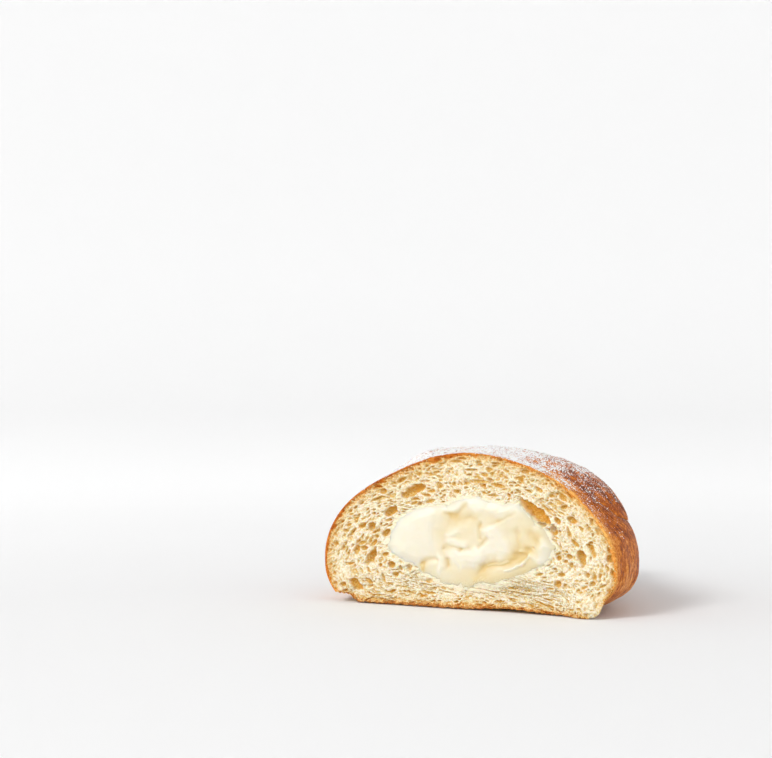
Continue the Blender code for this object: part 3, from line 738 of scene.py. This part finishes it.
def crumb_finish():
    """Soft pale yellow walls with painted rim highlights, painted amber shade in the hollows, browned
    towards the crust.
    """
    material, shader, place = new_finish(
        "open_crumb",
        Subsurface_Weight=0.35,
        Subsurface_Scale=0.0022,
        Subsurface_Radius=(1.0, 0.55, 0.22),
        Specular_IOR_Level=0.35,
    )
    hollow, edge, toast, smear = (place.mark(name) for name in ("hollow", "edge", "toast", "smear"))
    pores = place.cells(0.5 * MM, "SMOOTH_F1")
    tiny = place.noise(0.28 * MM, 2, 0.6)
    crumbs = place.noise(0.55 * MM, 2, 0.6)
    broad = place.noise(5 * MM, 2)
    # The hollow mark paints shade into the bubbles
    shading_tone = hollow + (broad - 0.5) * 0.3 + (tiny - 0.5) * 1.45 - (pores - 0.45) * 0.8 + 0.05
    # Painted highlight where the edge mark is high
    crumb = (edge * tiny.rise(0.3, 0.6)).mix(shading_tone.ramp(*CRUMB_PAINTED_SHADES), RIM_HIGHLIGHT_CREAM)
    crumb = (smear * (1.35 - hollow)).mix(crumb, SMEAR_CREAM)
    browning = toast + (tiny - 0.5) * (toast + 0.2) + (crumbs - 0.5) * toast * 2.6
    browned = browning.ramp(*TOAST_TINTS)
    relief = (tiny * 0.7 - pores * 0.5).bump(0.16 * MM, 0.6)
    feed(shader, Base_Color=tinted(crumb, browned), Roughness=(tiny - 0.5) * 0.2 + 0.6, Normal=relief)
    return material


def tinted(under, tint):
    """A colour multiplied by a tint."""
    inputs = {0: 1.0, 6: under, 7: tint}
    return under.node("ShaderNodeMix", inputs, output=2, data_type="RGBA", blend_type="MULTIPLY")


def make_crumb():
    """One closed skin: the wall of the hollow, the cut face, and the crumb just inside the crust."""
    around, run = even_angles(CRUMB_COLUMNS)
    beyond = body_angle(around)
    share = np.linspace(0, 1, FACE_ROWS)[:, None]
    outer = wrap_sheet(0, np.zeros((1, 1)), beyond, 0.4 * rim_thickness(beyond))[0]
    inner = mouth_points(around)
    torn = smoothstep(30 * MM, 36 * MM, outer[..., 0]) * smoothstep(41 * MM, 38.6 * MM, outer[..., 0])
    torn = torn * (outer[..., 2] < WAIST_HEIGHT)
    flap = FLAP_DROP * torn * (1 + 0.4 * noise_of(outer, 1.8 * MM, 27.0))
    outer[..., 2] = np.maximum(outer[..., 2] - flap, 0.1 * MM)
    face = between(inner, outer, share[..., None])
    from_crust = (1 - share) * np.linalg.norm(outer - inner, axis=-1)
    from_mouth = share * np.linalg.norm(outer - inner, axis=-1)
    hollow, sunk, edge = crumb_hollows(face, run, from_crust, from_mouth)
    soaked = 2.4 * MM * bell(around, -70, 32) + 2.2 * MM * bell(around, -140, 26)
    smear_at = from_mouth + 0.9 * MM * noise_of(face, 1.4 * MM, 17.0)
    smear = smoothstep(CREAM_OVERLAP + 1.2 * MM + soaked, CREAM_OVERLAP, smear_at)
    sunk = sunk * (1 - 0.6 * smear)
    rim_fade = smoothstep(0.6 * MM, 2.0 * MM, from_mouth) * smoothstep(0, 0.35 * MM, from_crust)
    lip = 1.6 * MM * smoothstep(0.8 * MM, 0, from_mouth)
    face[..., 1] += cut_wave(face) + sunk * rim_fade + lip + 0.1 * MM
    top = smoothstep(24 * MM, 38 * MM, face[..., 2])
    base = smoothstep(3.0 * MM, 0.3 * MM, face[..., 2])
    upper_left = bell(beyond, 150, 55)
    golden = (0.85 + 0.5 * bell(beyond, 30, 35) + 0.45 * upper_left) * MM
    toast = (0.7 + 0.2 * upper_left + 0.12 * top) * np.exp(-from_crust / golden)
    toast = toast + (0.2 + 0.08 * top + 0.1 * upper_left) * np.exp(-from_crust / (2.4 * MM))
    untorn = 1 - 0.75 * torn * smoothstep(34 * MM, 37 * MM, face[..., 0])
    toast = (toast + 0.05 * top + 0.38 * base) * untorn
    wall_shares = np.array(CRUMB_WALL_SHARES)[:, None]
    wall = MOUTH_CENTRE + (inner - MOUTH_CENTRE) * np.cos(wall_shares * math.pi / 2)[..., None]
    wall[..., 1] += HOLLOW_START + HOLLOW_DEPTH * np.sin(wall_shares * math.pi / 2)
    back_rows = [body_points(beyond, back + 0 * beyond, shrink) for shrink, back in CRUMB_BACK_ROWS]
    middle = MOUTH_CENTRE + np.array([0, HOLLOW_DEPTH + 6 * MM, 0])
    back_rows.append(between(back_rows[-1], middle, 0.8))
    back_rows.append(np.broadcast_to(middle, back_rows[-1].shape))
    sheet = np.concatenate([wall, face] + back_rows)
    ahead, after = np.zeros((len(wall), around.size)), np.zeros((len(back_rows), around.size))
    # The hollow mark carries painted shade, darker on the wall of the hollow; the edge mark carries painted
    # highlights
    marks = {
        "hollow": np.concatenate([ahead + 0.8, hollow, after + 0.4]),
        "smear": np.concatenate([ahead + 1, smear, after]),
        "edge": np.concatenate([ahead, edge, after]),
        "toast": np.concatenate([ahead, toast, after + 0.3]),
    }
    piece = rolled_skin("crumb", sheet, marks)
    piece.data.materials.append(crumb_finish())
    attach(piece, "root")
    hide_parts("bread")


make_crumb()

# ---------------------------------------- custard cream
# Thick custard cream in the hollow, dragged by the knife into soft lobes, creases and thin ridges, with
# small pits where air was caught. It smears over the crumb at its edge.
CREAM_COLUMNS, CREAM_ROWS = 560, 120
CREAM_PROUD, CREAM_RELIEF = 0.2 * MM, 0.52
CREAM_WALL_SHARES = (1.0, 0.85, 0.6, 0.35, 0.15, 0.05)
# Painted shade and light: from the shaded creases to the lit lobes
CREAM_PAINTED_SHADES = ((0.0, (0.72, 0.54, 0.24)), (1.0, (0.81, 0.76, 0.62)), (0.45, (0.77, 0.665, 0.435)))
SOAKED_SHADES = ((0.74, 0.57, 0.29), (0.85, 0.75, 0.52))
# Lobes and ridges (height above 0) and creases and pits (below 0): their two ends, each across and up
# from the base, half width and height, in mm
CREAM_STROKES = (
    (-16, 24, -15, 15, 5.5, 1.3), (-10.4, 26, -10.8, 17, 1.7, 0.4),
    (-14, 20, -18, 14, 2.0, 0.35), (-4.2, 25.7, 0.5, 28.1, 1.2, -1.1),
    (-3.5, 24.5, 1.8, 24.8, 1.6, -0.8), (-4, 27.6, 1, 30, 1.5, 0.8),
    (3, 29.3, 15, 27.8, 2.2, 0.9), (3, 25.5, 14, 27, 1.6, -0.3),
    (4.4, 23.2, 10.4, 25.2, 1.0, -0.5), (10.4, 25.2, 14.6, 26.3, 0.6, -0.35),
    (4.7, 23.4, 4.9, 20.4, 0.9, -0.75), (6.6, 19.7, 4.9, 17.5, 0.95, -1.0),
    (-4.0, 20.0, -2.2, 21.6, 1.2, 0.7), (-3.6, 17.9, 0.4, 18.2, 1.2, 0.8),
    (-5.2, 16.5, -0.7, 16.4, 0.5, -0.7), (-0.7, 16.4, 1.9, 17.6, 0.75, -0.8),
    (-1.3, 14.2, 5.0, 15.4, 2.3, 1.6), (8.0, 21.6, 10.5, 17.4, 2.8, 1.4),
    (7.4, 22.2, 8.2, 21.0, 0.8, 0.5), (15.6, 22.3, 15.2, 16.5, 1.0, -0.5),
    (5.5, 11.8, 17.6, 16.0, 1.7, -1.5), (7.5, 12.2, 12.5, 14.6, 0.4, 0.35),
    (19.5, 21.4, 21.8, 19.4, 1.4, -0.8), (23.7, 18.8, 22.4, 15.2, 1.2, 1.2),
    (16.1, 17.0, 18.6, 15.3, 0.6, 0.7), (18.6, 15.3, 22.0, 14.3, 0.8, 0.8),
    (20.0, 17.3, 20.4, 17.1, 0.4, -0.6), (12.7, 11.5, 16.7, 13.2, 0.5, 1.2),
    (16.7, 13.2, 18.1, 15.0, 0.5, 0.9), (4.6, 8.6, 16.1, 9.8, 1.8, -0.5),
    (-12.3, 12.0, -11.9, 11.2, 1.3, -1.2), (-12.2, 12.4, -8.4, 13.8, 0.9, -0.9),
    (-12.2, 12.0, -11.9, 9.5, 0.7, -0.8), (-4.8, 13.2, -4.8, 11.6, 0.9, -1.0),
    (-7.2, 14.4, -7.2, 9.8, 0.9, 0.7),
)


def cream_height(points):
    """Lobes, ridges and creases of the cream's face, and the faint drag lines of the knife."""
    drift = np.stack([noise_of(points, 4.5 * MM, seed) for seed in (2.0, 40.0)], -1) * 1.3 * MM
    drift = drift + np.stack([noise_of(points, 1.6 * MM, seed) for seed in (3.0, 41.0)], -1) * 0.35 * MM
    x, z = points[..., 0] + drift[..., 0], points[..., 2] + drift[..., 1]
    height = 0.5 * MM * noise_of(points, 8 * MM, 5.0) + 0.22 * MM * noise_of(points, 2.6 * MM, 1.0)
    for x0, z0, x1, z1, width, rise in CREAM_STROKES:
        start, run = np.array([x0, z0]) * MM, np.array([x1 - x0, z1 - z0]) * MM
        share = np.clip(((x - start[0]) * run[0] + (z - start[1]) * run[1]) / (run @ run), 0, 1)
        away = np.hypot(x - start[0] - share * run[0], z - start[1] - share * run[1])
        height = height + rise * MM * np.exp(-((away / (width * MM)) ** 2))
    return height


def cream_finish():
    """Thick, softly glossy custard cream that lets a little light through."""
    material, shader, place = new_finish(
        "custard_cream",
        Subsurface_Weight=0.5,
        Subsurface_Scale=0.003,
        Subsurface_Radius=(1.0, 0.75, 0.4),
        Specular_IOR_Level=0.45,
    )
    # The height mark is painted shade and light: dark in the creases and on the side turned from the lamp,
    # light on the lobes
    height = place.mark("height")
    broad = place.noise(7 * MM, 2)
    fine = place.noise(0.9 * MM, 3, 0.6)
    shading_tone = height + (broad - 0.5) * 0.3
    grain = place.noise(0.35 * MM, 2, 0.6)
    soaked = grain.rise(0.3, 0.7).mix(*SOAKED_SHADES)
    cream = (place.mark("soaked") * 0.85).mix(shading_tone.ramp(*CREAM_PAINTED_SHADES), soaked)
    relief = (fine * 0.6 + grain * 0.4).bump(0.05 * MM, 0.5)
    feed(shader, Base_Color=cream, Roughness=(fine - 0.5) * 0.25 + 0.38, Normal=relief)
    return material


def make_cream():
    """One closed skin: a blunt plug in the hollow, and the face with its lobes and creases."""
    around, _ = even_angles(CREAM_COLUMNS)
    smooth_edge = cream_edge(around)
    places = smooth_edge / MM
    low = bell(around, -118, 60)
    uneven = 1.1 * noise_of(places, 3.0, 3.0) + 0.5 * noise_of(places, 1.3, 5.0)
    uneven = uneven + 1.5 * low * noise_of(places, 1.1, 9.0)
    longer = uneven[..., None] * MM / np.linalg.norm(smooth_edge, axis=-1, keepdims=True)
    edge = MOUTH_CENTRE + smooth_edge * (1 + longer)
    share = np.linspace(0, 1, CREAM_ROWS)[:, None]
    face = between(edge, MOUTH_CENTRE, (share**0.9)[..., None])
    height = cream_height(face)
    depth_in = np.linalg.norm(face - edge, axis=-1)
    even_depth = np.linalg.norm(smooth_edge, axis=-1) - np.linalg.norm(face - MOUTH_CENTRE, axis=-1)
    rounding = between(0.4, 0.16, low) * MM * np.clip(1 - even_depth / (2.2 * MM), 0, 1.4) ** 2
    calm = smoothstep(0.3 * MM, 4.5 * MM, even_depth)
    face[..., 1] += cut_wave(face) + rounding - 0.12 * MM - (CREAM_PROUD + height * CREAM_RELIEF) * calm
    wall_shares = np.array(CREAM_WALL_SHARES)[:, None]
    narrower = np.cos(wall_shares * math.pi / 2)[..., None]
    wall = MOUTH_CENTRE + (edge - MOUTH_CENTRE) * (0.9, 0, 0.9) * narrower
    wall[..., 1] += 2.4 * MM + (HOLLOW_DEPTH - 3 * MM) * np.sin(wall_shares * math.pi / 2)
    # Painted shade and light: lighter on the lobes and darker in the creases, darker towards the right and
    # bottom where the face turns from the lamp, and darker near the edge except at the lower left
    turned = smoothstep(2 * MM, 22 * MM, face[..., 0]) + smoothstep(15 * MM, 7 * MM, face[..., 2])
    edge_shade = between(0.12, 0.0, bell(around, -150, 50)) * smoothstep(2.5 * MM, 0, depth_in)
    shading_tone = 0.66 + height / (1.95 * MM) - 0.2 * turned - edge_shade
    from_edge = depth_in + 0.8 * MM * noise_of(face, 1.2 * MM, 12.0)
    soaked = smoothstep(2.2 * MM, 0.3 * MM, from_edge) * bell(around, -80, 50)
    inside = 0 * wall_shares + 0 * around
    # The height mark carries this painted shade and light to the finish
    marks = {"height": np.concatenate([0.3 + inside, shading_tone]), "soaked": np.concatenate([inside, soaked])}
    piece = rolled_skin("cream_filling", np.concatenate([wall, face]), marks)
    piece.data.materials.append(cream_finish())
    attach(piece, "root")
    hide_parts("cream")


make_cream()

# ---------------------------------------- studio
# A seamless white paper cove, swept up all round, with one large soft lamp high on the left and an even
# white surround. The paper glows faintly round the croissant, which keeps the floor pale.
COVE_STEP, COVE_STEPS, COVE_SEGMENTS = 0.1, 14, 96
COVE_FLAT, COVE_BEND, COVE_BEND_STEPS, COVE_TOP = 1.4, 0.7, 12, 2.5
GLOW_MIDDLE, GLOW_REACH = (0.04, -0.2, 0.0), 3.0
GLOW_SHADES = (
    (0.07, (0, 0, 0)),
    (0.8, (0.10, 0.10, 0.10)),
    (0.2, (0.15, 0.15, 0.15)),
    (0.68, (0.145, 0.145, 0.145)),
)
SURROUND_STRENGTH = 0.5
SUBJECT = Vector((0, CUT_Y + 36 * MM, 23.5 * MM))
LAMP_PLACE, LAMP_SIZE, LAMP_POWER = Vector((-0.77, -1.73, 1.48)), 0.85, 27.4
AZIMUTH, ELEVATION, DISTANCE = math.radians(21), math.radians(5.35), 0.529
LEFT_OF_SUBJECT, ABOVE_SUBJECT = 36.6 * MM, 38.5 * MM
LENS, SENSOR_WIDTH = 85, 36

scene = bpy.context.scene
scene.view_settings.view_transform = "Standard"

cove_skin = bmesh.new()
bmesh.ops.create_circle(cove_skin, cap_ends=True, segments=COVE_SEGMENTS, radius=0.02)
outline = list(cove_skin.edges)
rings = [(COVE_STEP * step, 0.0) for step in range(1, COVE_STEPS + 1)]
for step in range(1, COVE_BEND_STEPS + 1):
    turn = step / COVE_BEND_STEPS * math.pi / 2
    rings.append((COVE_FLAT + COVE_BEND * math.sin(turn), COVE_BEND * (1 - math.cos(turn))))
rings.append((COVE_FLAT + COVE_BEND, COVE_TOP))
for radius, climb in rings:
    grown = bmesh.ops.extrude_edge_only(cove_skin, edges=outline)["geom"]
    outline = [item for item in grown if isinstance(item, bmesh.types.BMEdge)]
    for vert in (item for item in grown if isinstance(item, bmesh.types.BMVert)):
        direction = vert.co.xy.normalized()
        vert.co = (direction.x * radius, direction.y * radius, climb)
bmesh.ops.recalc_face_normals(cove_skin, faces=cove_skin.faces)
cove_mesh = bpy.data.meshes.new("cove")
cove_skin.to_mesh(cove_mesh)
cove_skin.free()
cove_mesh.polygons.foreach_set("use_smooth", [True] * len(cove_mesh.polygons))
cove = bpy.data.objects.new("cove", cove_mesh)
scene.collection.objects.link(cove)
cove_finish, cove_shader, cove_place = new_finish(
    "white_paper", Base_Color=(0.88, 0.88, 0.88, 1), Roughness=0.9, Emission_Strength=1.0
)
ends = {0: cove_place, 1: GLOW_MIDDLE}
far = cove_place.node("ShaderNodeVectorMath", ends, output="Value", operation="DISTANCE")
feed(cove_shader, Emission_Color=(far / GLOW_REACH).ramp(*GLOW_SHADES))
cove_mesh.materials.append(cove_finish)

world = bpy.data.worlds.new("white_surround")
scene.world = world
world.use_nodes = True
world.node_tree.nodes["Background"].inputs["Color"].default_value = (1.0, 1.0, 1.0, 1)
world.node_tree.nodes["Background"].inputs["Strength"].default_value = SURROUND_STRENGTH

key = bpy.data.objects.new("key_lamp", bpy.data.lights.new("key_lamp", "AREA"))
key.data.shape, key.data.size, key.data.energy = "DISK", LAMP_SIZE, LAMP_POWER
key.location = SUBJECT + LAMP_PLACE
key.rotation_euler = (SUBJECT - key.location).to_track_quat("-Z", "Y").to_euler()
scene.collection.objects.link(key)

camera = bpy.data.objects.new("camera", bpy.data.cameras.new("camera"))
camera.data.lens, camera.data.sensor_width = LENS, SENSOR_WIDTH
level = math.cos(ELEVATION)
towards = Vector((math.sin(AZIMUTH) * level, -math.cos(AZIMUTH) * level, math.sin(ELEVATION)))
camera.location = SUBJECT + towards * DISTANCE
right = Vector((math.cos(AZIMUTH), math.sin(AZIMUTH), 0))
aim = SUBJECT - right * LEFT_OF_SUBJECT + towards.cross(right) * ABOVE_SUBJECT
camera.rotation_euler = (aim - camera.location).to_track_quat("-Z", "Y").to_euler()
scene.collection.objects.link(camera)
scene.camera = camera
